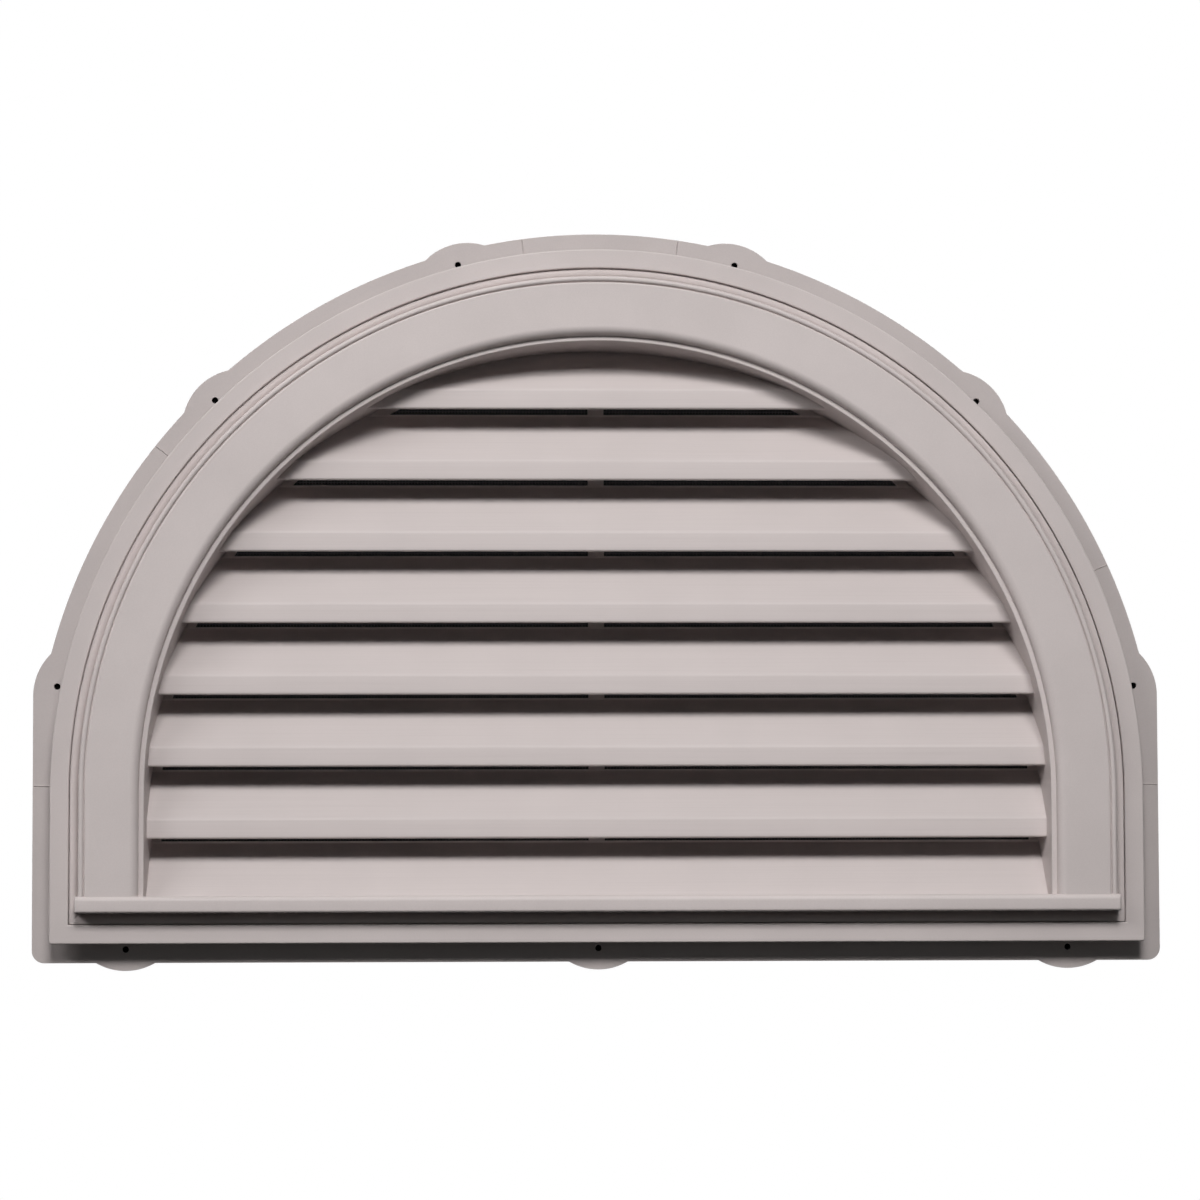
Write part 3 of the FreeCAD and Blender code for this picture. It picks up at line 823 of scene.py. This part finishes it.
def studio_paper(finish):
    """Matt pale floor paper with a barely visible fibre, lit from behind, and dark to light that it would
    throw back so that undersides stay deep."""
    material, tree = new_material("pale studio paper")
    space = add_node(tree, COORDINATES).outputs["Object"]
    fibre = add_node(tree, NOISE, {"Vector": space, "Scale": 1 / FIBRE_SIZE, "Detail": 2.0}).outputs["Fac"]
    tone = add_node(tree, MIX, {
        "Factor": fibre, MIX_A: rgba(finish.paper, 0.99), MIX_B: rgba(finish.paper)},
        data_type="RGBA").outputs[MIXED]
    shown = background_rays(tree)
    seen = add_node(tree, MIX, {
        "Factor": shown, MIX_A: FLOOR_DARK, MIX_B: tone}, data_type="RGBA").outputs[MIXED]
    glow = add_node(tree, MATH, {0: shown, 1: FLOOR_GLOW}, operation="MULTIPLY")
    surface = add_node(tree, SURFACE, {
        "Base Color": seen, "Emission Color": tone, "Emission Strength": glow,
        "Roughness": 0.9})
    add_node(tree, OUTPUT, {"Surface": surface})
    return material


def hole_shade_material(finish):
    """Painted shade: a dark mottled sheet behind the nail holes, so that they look as deep as holes in front
    of a wall.
    """
    material, tree = new_material("black felt")
    space = add_node(tree, COORDINATES).outputs["Object"]
    mottle = add_node(tree, NOISE, {"Vector": space, "Scale": 1 / MOTTLE_SIZE}).outputs["Fac"]
    tone = add_node(tree, MIX, {
        "Factor": mottle, MIX_A: rgba(finish.hole_shade, 0.6), MIX_B: rgba(finish.hole_shade)},
        data_type="RGBA").outputs[MIXED]
    surface = add_node(tree, SURFACE, {
        "Base Color": tone, "Roughness": 1.0, "Specular IOR Level": 0.0})
    add_node(tree, OUTPUT, {"Surface": surface})
    return material


def ray_to_disc(turn, distance, place, radius):
    """How far a ray from the arch centre runs to the far side of a disc, or nothing if it misses."""
    side = distance * math.sin(turn - place)
    if abs(side) >= radius:
        return 0.0
    return distance * math.cos(turn - place) + math.sqrt(radius ** 2 - side ** 2)


def flange_outline(s, w):
    """Edge of the nailing flange with its ears, anticlockwise from the bottom left corner."""
    reach = s.flange_reach
    inner = reach - s.flange_corner
    ear_z = s.ear_radius - s.ear_rise
    half_ear = math.sqrt(s.ear_radius ** 2 - ear_z ** 2)
    outline = [(-inner, 0.0)]
    for x in (-s.bottom_ear_x, 0.0, s.bottom_ear_x):
        start = math.atan2(-ear_z, -half_ear)
        end = math.atan2(-ear_z, half_ear)
        outline += arc(x, ear_z, s.ear_radius, start, end, steps=24)
    outline += arc(inner, s.flange_corner, s.flange_corner, -QUARTER, 0, steps=10)
    shoulder_x = reach - s.ear_radius
    shoulder = (math.hypot(shoulder_x, s.shoulder_height), math.atan2(s.shoulder_height, shoulder_x))
    ear_distance = reach + s.ear_rise - s.ear_radius
    shoulder_turn = math.atan2(s.shoulder_height, reach)
    discs = [shoulder, (ear_distance, s.flank_ear_angle), (ear_distance, s.crown_ear_angle)]
    for k in range(EAR_STEPS + 1):
        turn = math.pi * k / EAR_STEPS
        low = min(turn, math.pi - turn)
        far = [reach] + [ray_to_disc(low, distance, place, s.ear_radius) for distance, place in discs]
        if low <= shoulder_turn:
            far.append(reach / math.cos(low))
        outline.append(on_arch(w, max(far), turn))
    outline += arc(-inner, s.flange_corner, s.flange_corner, math.pi, 3 * QUARTER, steps=10)[:-1]
    return outline


def nail_places(s, w):
    """X and Z of every nail hole."""
    places = []
    for turn in (s.shoulder_hole_angle, s.flank_ear_angle, s.crown_ear_angle):
        x, z = on_arch(w, s.flange_reach - s.nail_margin, turn)
        places += [(x, z), (-x, z)]
    return places + [(x, s.nail_margin) for x in (-s.bottom_ear_x, 0.0, s.bottom_ear_x)]


class GABLE_VENT_OT_flange(bpy.types.Operator):
    """Nailing flange with an ear at every nail hole, and the fine lines left by the joints of its mould"""
    bl_idname = "gable_vent.flange"
    bl_label = "Nailing flange"

    def execute(self, context):
        s, finish, w = settings(context)
        holes = [circle(x, z, s.nail_hole / 2) for x, z in nail_places(s, w)]
        margin = w.neck_inset + FLANGE_BITE * s.wall
        inside = arch_outline(w, s.flange_reach - margin, margin)
        parts = [plate("flange_plate", [flange_outline(s, w), inside] + holes, 0.0, s.wall, FLANGE_EDGE)]
        ends = (s.flange_reach - w.neck_inset, s.flange_reach - LINE_MARGIN)
        root = Vector((0, (LINE_BITE - 1) * s.wall, w.centre))
        crest = Vector((0, -s.wall - LINE_RISE, w.centre))
        for degrees in LINE_ANGLES:
            turn = math.radians(degrees)
            along = Vector((math.cos(turn), 0, math.sin(turn)))
            across = Vector((-math.sin(turn), 0, math.cos(turn))) * LINE_WIDTH / 2
            parts.append(loft("mould_line", [
                [root + along * r - across, root + along * r + across, crest + along * r] for r in ends]))
        mesh = joined("flange_moulding", parts)
        piece("flange_moulding", mesh, darker_flange_polypropylene(finish), "nailing_flange", FLAT)
        return {"FINISHED"}


class GABLE_VENT_OT_neck(bpy.types.Operator):
    """Neck that the siding butts against, the ledge inside the ring, and the teeth that hold the ring"""
    bl_idname = "gable_vent.neck"
    bl_label = "Neck and ledge"

    def execute(self, context):
        s, finish, w = settings(context)
        inset = w.neck_inset
        edge = LEDGE_EDGE
        ledge_end = s.flange_reach - w.bead_out + LEDGE_BITE * s.wall
        ledge_run = ledge_end - inset - edge
        profile = [(inset, NECK_BACK), (inset, w.ledge_depth - edge)]
        profile += [(inset + edge * (1 - math.cos(t)), w.ledge_depth - edge * (1 - math.sin(t)))
                    for t in (QUARTER / 3, QUARTER * 2 / 3, QUARTER)]
        profile += [(inset + edge + ledge_run * t, w.ledge_depth - s.ledge_fall * t ** 3)
                    for t in (k / FALL_STEPS for k in range(1, FALL_STEPS + 1))]
        profile += [(ledge_end, w.ledge_root),
                    (inset + s.wall, w.ledge_depth - s.wall), (inset + s.wall, NECK_BACK)]
        half_run = s.flange_reach - ledge_end
        parts = [
            sweep("neck", profile, outline_stations(s, w, inset, 0.0)),
            block("ledge_bottom", -half_run, half_run, w.ledge_root, w.ledge_depth - s.ledge_fall,
                  ledge_end, w.casing_bottom),
        ]
        heel = w.barb_back + s.barb_length + TOOTH_CLEAR
        tip = heel + TOOTH_LENGTH
        bite = TOOTH_BITE * s.wall
        tooth = [(bite, heel), (-s.tooth_rise, heel), (0.0, tip), (bite, tip)]
        foot = inset + TOOTH_MARGIN
        reach = s.flange_reach - inset
        for side in (-1, 1):
            corners = [(side * (reach - u), -d, foot) for u, d in tooth]
            parts.append(prism("leg_tooth", corners, (0, 0, w.centre - foot)))
        run = reach - TOOTH_MARGIN
        parts.append(prism("bottom_tooth", [(-run, -d, inset + u) for u, d in tooth], (2 * run, 0, 0)))
        mesh = joined("neck_moulding", parts)
        piece("neck_moulding", mesh, moulded_polypropylene(finish), "neck")
        return {"FINISHED"}


class GABLE_VENT_OT_surround(bpy.types.Operator):
    """Moulded surround: outer wall, bead, quirk, broad face, roll and step"""
    bl_idname = "gable_vent.surround"
    bl_label = "Moulded surround"

    def execute(self, context):
        s, finish, w = settings(context)
        valley = w.face_depth - s.bead_radius
        plate_back = w.face_depth - s.wall
        profile = [(w.bead_out, w.ledge_root)]
        profile += arc(w.bead_out - s.bead_radius, valley, s.bead_radius, 0, math.pi, steps=18)
        profile += [(w.face, valley)]
        profile += arc(w.face - s.face_edge, w.face_depth - s.face_edge, s.face_edge, 0, QUARTER, steps=6)
        profile += [(w.face - FACE_START * s.face_edge, w.face_depth),
                    (w.roll + FACE_STOP * s.face_edge, w.face_depth)]
        profile += arc(w.roll, w.step_depth, s.roll_radius, QUARTER, math.pi, steps=20)
        profile += arc(w.opening + s.step_edge, w.step_depth - s.step_edge, s.step_edge,
                       QUARTER, math.pi - s.draft, steps=8)
        profile += [
            (wall_reach(w, w.wall_front), w.wall_front),
            (w.step + s.wall, w.wall_front),
            (w.roll, plate_back),
            (w.face - 2 * s.wall, plate_back),
            (w.bead_out - s.wall, valley - s.wall),
            (w.bead_out - s.wall, w.ledge_root),
        ]
        material = moulded_polypropylene(finish)
        leg = w.centre - w.sill_top + SURROUND_BITE * s.wall
        mesh = arched("surround_moulding", profile, leg, w, material)
        piece("surround_moulding", mesh, material, "surround")
        return {"FINISHED"}


class GABLE_VENT_OT_louvre_wall(bpy.types.Operator):
    """Drafted wall round the louvres, and the floor that closes it"""
    bl_idname = "gable_vent.louvre_wall"
    bl_label = "Louvre wall"

    def execute(self, context):
        s, finish, w = settings(context)
        front = wall_reach(w, w.wall_front)
        back = wall_reach(w, w.back_depth)
        profile = [(front, w.wall_front), (back, w.back_depth),
                   (back + s.wall, w.back_depth), (front + s.wall, w.wall_front)]
        material = moulded_polypropylene(finish)
        wall = arched("louvre_wall_arch", profile, w.centre - w.sill_bottom, w, material)
        ledge_back = w.ledge_depth - s.wall
        wide = wall_reach(w, ledge_back)
        corners = [(-back, -w.back_depth), (back, -w.back_depth), (wide, -ledge_back), (-wide, -ledge_back)]
        floor = prism("louvre_floor", [(x, y, w.sill_bottom) for x, y in corners], (0, 0, s.wall))
        mesh = joined("louvre_wall_moulding", [wall, floor])
        piece("louvre_wall_moulding", mesh, material, "louvre_wall")
        return {"FINISHED"}


class GABLE_VENT_OT_sill(bpy.types.Operator):
    """Hollow sill with rounded edges and ends, its apron and cheeks, and the shelf to the lowest blade"""
    bl_idname = "gable_vent.sill"
    bl_label = "Sill"

    def execute(self, context):
        s, finish, w = settings(context)
        inner_top = w.sill_top - s.wall
        inner_front = w.sill_depth - s.wall
        inner_bottom = w.sill_bottom + s.wall
        hollow = [(w.ledge_depth, inner_top), (inner_front, inner_top),
                  (inner_front, inner_bottom), (w.ledge_depth, inner_bottom)]
        run = w.sill_reach - s.wall
        channel = [(-run, -d, z) for d, z in sill_line(s, w, w.sill_depth) + hollow]
        parts = [prism("sill_run", channel, (2 * run, 0, 0))]
        edge = s.sill_foot
        rows = [(run, w.sill_depth)]
        for k in range(CORNER_STEPS + 1):
            turn = QUARTER * k / CORNER_STEPS
            rows.append((w.sill_reach - edge * (1 - math.sin(turn)),
                         w.sill_depth - edge * (1 - math.cos(turn))))
        shelf_back = s.nose_depth + (w.first_nose + s.nose_height - w.sill_top) * s.blade_run / w.slope_rise
        reach = wall_reach(w, shelf_back) + SHELF_BITE * s.wall
        parts += [
            block("shelf", -reach, reach, shelf_back, w.ledge_depth, inner_top, w.sill_top),
            block("apron", -w.casing, w.casing, w.ledge_root, inner_front,
                  w.casing_bottom, w.casing_bottom + s.wall),
        ]
        for side in (-1, 1):
            parts.append(loft("sill_end", [
                [(side * x, -d, z) for d, z in sill_line(s, w, front)] for x, front in rows]))
            parts.append(block("cheek", side * (w.casing - s.wall), side * w.casing, w.ledge_root,
                               inner_front - s.wall, w.casing_bottom, w.sill_top - CHEEK_DROP * s.wall))
        mesh = joined("sill_moulding", parts)
        piece("sill_moulding", mesh, moulded_polypropylene(finish), "sill")
        return {"FINISHED"}


class GABLE_VENT_OT_blades(bpy.types.Operator):
    """Louvre blades with nose, slope and rain lip, trimmed to the half-round wall"""
    bl_idname = "gable_vent.blades"
    bl_label = "Louvre blades"

    def execute(self, context):
        s, finish, w = settings(context)
        material = grained_polypropylene(finish)
        values = {"Pitch": s.blade_pitch, "Springing height": w.centre,
                  "Opening reach": w.opening + BLADE_BITE * s.wall, "Step depth": w.step_depth,
                  "Taper": w.taper, "Material": material}
        second_nose = w.first_nose + s.blade_pitch
        banks = []
        for with_nose, count, first in ((True, s.blade_count - 1, second_nose), (False, 1, w.first_nose)):
            blade = one_blade("blade", s, w, with_nose)
            values.update({"Count": count, "First nose": first})
            banks.append(grown("blade_stack", blade, blade_tree(), values))
        mesh = joined("louvre_bank", banks)
        piece("louvre_bank", mesh, material, "louvre_blades")
        return {"FINISHED"}


class GABLE_VENT_OT_rear_frame(bpy.types.Operator):
    """Rim at the back of the drafted wall, and the post that ties the blades"""
    bl_idname = "gable_vent.rear_frame"
    bl_label = "Rear frame"

    def execute(self, context):
        s, finish, w = settings(context)
        reach = wall_reach(w, w.back_depth)
        bottom = w.sill_bottom + s.wall
        outlines = [arch_outline(w, reach - inset, bottom + inset) for inset in (0.0, s.rim_width)]
        rim = plate("rim", outlines, w.back_depth, w.back_depth + s.wall, RIM_EDGE)
        post = block("post", -s.post_width / 2, s.post_width / 2, w.back_depth, w.lip_depth + s.post_bite,
                     bottom, w.centre + reach)
        mesh = joined("rear_frame_moulding", [rim, post])
        piece("rear_frame_moulding", mesh, moulded_polypropylene(finish), "rear_frame", FLAT)
        return {"FINISHED"}


class GABLE_VENT_OT_trim_ring(bpy.types.Operator):
    """Clip-on trim ring with a turned-back rim and a barbed leg"""
    bl_idname = "gable_vent.trim_ring"
    bl_label = "Trim ring"

    def execute(self, context):
        s, finish, w = settings(context)
        outer = w.ring_margin
        edge = s.ring_edge
        back = w.ring_depth - s.wall
        leg_in = w.neck_inset - s.leg_gap
        leg_out = leg_in - s.wall
        rim_back = w.ring_depth - s.ring_return
        profile = arc(outer + edge, w.ring_depth - edge, edge, math.pi, QUARTER, steps=7)
        profile += [(outer + RING_START * edge, w.ring_depth),
                    (w.ring_inset - RING_START * edge, w.ring_depth)]
        profile += arc(w.ring_inset - edge, w.ring_depth - edge, edge, QUARTER, 0, steps=7)
        profile += [(w.ring_inset, back), (leg_in, back), (leg_in, w.barb_back), (leg_out, w.barb_back),
                    (leg_out, back), (outer + s.wall, back), (outer + s.wall, rim_back), (outer, rim_back)]
        parts = [sweep("ring", profile, outline_stations(s, w, outer, s.ring_corner))]
        barb_in = w.neck_inset - s.seam
        barb_front = w.barb_back + s.barb_length
        reach = s.flange_reach
        for side in (-1, 1):
            parts.append(block("leg_barb", side * (reach - barb_in), side * (reach - leg_in),
                               w.barb_back, barb_front, barb_in, w.centre))
        run = reach - leg_in
        parts.append(block("bottom_barb", -run, run, w.barb_back, barb_front, leg_in, barb_in))
        mesh = joined("trim_ring_moulding", parts)
        piece("trim_ring_moulding", mesh, ring_polypropylene(finish), "trim_ring")
        return {"FINISHED"}


class GABLE_VENT_OT_screen(bpy.types.Operator):
    """Woven insect screen bonded behind the rim"""
    bl_idname = "gable_vent.screen"
    bl_label = "Insect screen"

    def execute(self, context):
        _, finish, w = settings(context)
        reach = SCREEN_HIGH.x
        outline = arch_outline(w, reach, SCREEN_LOW.z)
        mesh = plate("screen_cloth", [outline], -SCREEN_HIGH.y, -SCREEN_LOW.y, SCREEN_EDGE)
        screen = piece("screen_cloth", mesh, coated_glass_mesh(finish), "insect_screen", FLAT)
        return {"FINISHED"}


class GABLE_VENT_OT_stage(bpy.types.Operator):
    """Camera, softboxes, white surroundings and pale floor"""
    bl_idname = "gable_vent.stage"
    bl_label = "Stage"

    def execute(self, context):
        s, finish, w = settings(context)
        scene = context.scene
        scene.view_settings.view_transform = "Standard"
        centre = Vector((0, 0, w.centre))
        level = math.cos(CAMERA_PITCH)
        ahead = Vector((math.sin(CAMERA_YAW) * level, math.cos(CAMERA_YAW) * level, math.sin(CAMERA_PITCH)))
        lens = bpy.data.cameras.new("camera")
        lens.sensor_fit = "HORIZONTAL"
        lens.sensor_width = SENSOR_WIDTH
        lens.lens = CAMERA_LENS
        lens.clip_end = CLIP_END
        camera = placed("camera", lens)
        camera.location = centre + CAMERA_AIM - ahead * CAMERA_DISTANCE
        tilt = Quaternion((0, 0, 1), CAMERA_ROLL)
        camera.rotation_euler = (ahead.to_track_quat("-Z", "Y") @ tilt).to_euler()
        scene.camera = camera
        middle = centre + LIGHT_AIM
        for name, power_name, toward, away, width, height, spread in LAMPS:
            lamp = bpy.data.lights.new(name, "AREA")
            lamp.shape = "RECTANGLE"
            lamp.size = width
            lamp.size_y = height
            lamp.spread = math.radians(spread)
            lamp.energy = getattr(finish, power_name)
            box = placed(name, lamp)
            box.location = middle + Vector(toward).normalized() * away
            box.rotation_euler = (middle - box.location).to_track_quat("-Z", "Y").to_euler()
        world = bpy.data.worlds.new("studio")
        world.use_nodes = True
        tree = world.node_tree
        tree.nodes.clear()
        dim = add_node(tree, "ShaderNodeBackground", {"Color": AMBIENT_TINT, "Strength": finish.ambient})
        white = add_node(tree, "ShaderNodeBackground", {"Color": (1, 1, 1, 1), "Strength": 1.0})
        mixed = add_node(tree, "ShaderNodeMixShader", {0: background_rays(tree), 1: dim, 2: white})
        add_node(tree, "ShaderNodeOutputWorld", {"Surface": mixed})
        scene.world = world
        corners = [(x * FLOOR_HALF, y * FLOOR_HALF, FLOOR_LEVEL)
                   for x, y in ((-1, -1), (1, -1), (1, 1), (-1, 1))]
        prop("floor", new_mesh("floor", corners, [(0, 1, 2, 3)]), studio_paper(finish))
        # dark discs behind the nail holes, painted shade in the holes
        shade_discs = []
        for hole_x, hole_z in nail_places(s, w):
            rim = [(x, SHADE_DISC_BEHIND, z) for x, z in circle(hole_x, hole_z, 2 * s.nail_hole)]
            shade_discs.append(new_mesh("disc", rim, [tuple(range(len(rim)))]))
        prop("hole_backdrop", joined("hole_backdrop", shade_discs), hole_shade_material(finish))
        return {"FINISHED"}


class GABLE_VENT_PT_panel(bpy.types.Panel):
    """Sizes, finish and pieces of the gable vent"""
    bl_idname = "GABLE_VENT_PT_panel"
    bl_label = "Gable Vent"
    bl_space_type = "VIEW_3D"
    bl_region_type = "UI"
    bl_category = "Gable Vent"

    def draw(self, context):
        for group in (context.scene.gable_vent_sizes, context.scene.gable_vent_finish):
            column = self.layout.column(align=True)
            for name in group.__annotations__:
                column.prop(group, name)
        for operator in OPERATORS:
            self.layout.operator(operator.bl_idname)


OPERATORS = (
    GABLE_VENT_OT_flange,
    GABLE_VENT_OT_neck,
    GABLE_VENT_OT_surround,
    GABLE_VENT_OT_louvre_wall,
    GABLE_VENT_OT_sill,
    GABLE_VENT_OT_blades,
    GABLE_VENT_OT_rear_frame,
    GABLE_VENT_OT_trim_ring,
    GABLE_VENT_OT_screen,
    GABLE_VENT_OT_stage,
)
CLASSES = (VentSizes, VentFinish) + OPERATORS + (GABLE_VENT_PT_panel,)


def register():
    for cls in CLASSES:
        bpy.utils.register_class(cls)
    bpy.types.Scene.gable_vent_sizes = bpy.props.PointerProperty(type=VentSizes)
    bpy.types.Scene.gable_vent_finish = bpy.props.PointerProperty(type=VentFinish)


def unregister():
    del bpy.types.Scene.gable_vent_finish
    del bpy.types.Scene.gable_vent_sizes
    for cls in reversed(CLASSES):
        bpy.utils.unregister_class(cls)


def main():
    register()
    for operator in OPERATORS:
        name = operator.bl_idname.split(".")[1]
        getattr(bpy.ops.gable_vent, name)()


if __name__ == "__main__":
    main()
